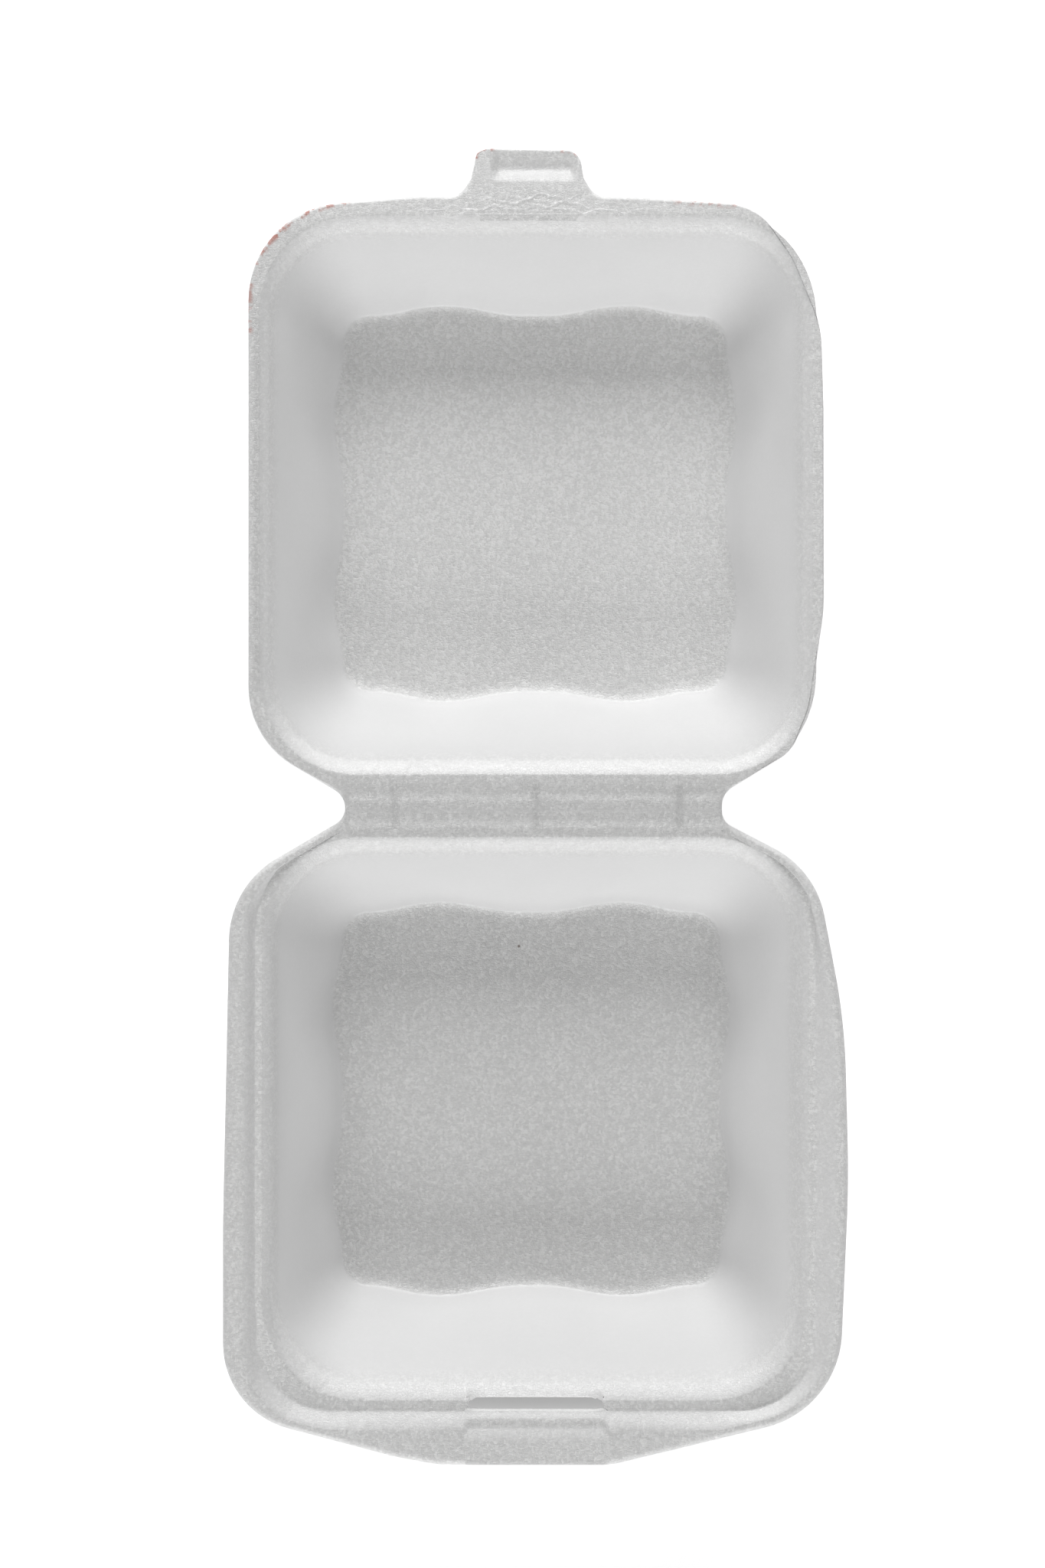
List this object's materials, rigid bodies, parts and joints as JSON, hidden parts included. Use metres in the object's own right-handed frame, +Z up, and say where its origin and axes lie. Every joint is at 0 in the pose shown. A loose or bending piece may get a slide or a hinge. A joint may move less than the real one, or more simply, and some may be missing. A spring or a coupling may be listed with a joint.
{
  "type": "foam clamshell container",
  "caption": "Open hinged food box of white foam: square base and lid trays with scalloped walls, a hinge strip between creases, and a tab that tucks into a slit in the front lip.",
  "frame": {"origin": "on the surface the box stands on, under the middle of its open outline", "axes": "+X across the box, +Y from the hinge towards the lid's tab, +Z up"},
  "size_m": [0.15, 0.3158, 0.0366],
  "materials": {
    "foam": "white expanded foam with fine glittering cells, satin where it was stretched"
  },
  "bodies": {
    "base_half": {"base": "foam"},
    "hinge": {"hinge_strip": "foam"},
    "lid_half": {"lid": "foam"},
    "tab": {"latch_tab": "foam"}
  },
  "joints": [
    {"name": "base_crease", "type": "hinge", "parent": "base_half", "child": "hinge", "pos_m": [0, -0.0046, 0.032], "axis": [1, 0, 0], "range_deg": [0, 90]},
    {"name": "lid_crease", "type": "hinge", "parent": "hinge", "child": "lid_half", "pos_m": [0, 0.0018, 0.032], "axis": [1, 0, 0], "range_deg": [0, 90]},
    {"name": "tab_fold", "type": "hinge", "parent": "lid_half", "child": "tab", "pos_m": [0, 0.1417, 0.032], "axis": [1, 0, 0], "range_deg": [0, 90]}
  ]
}
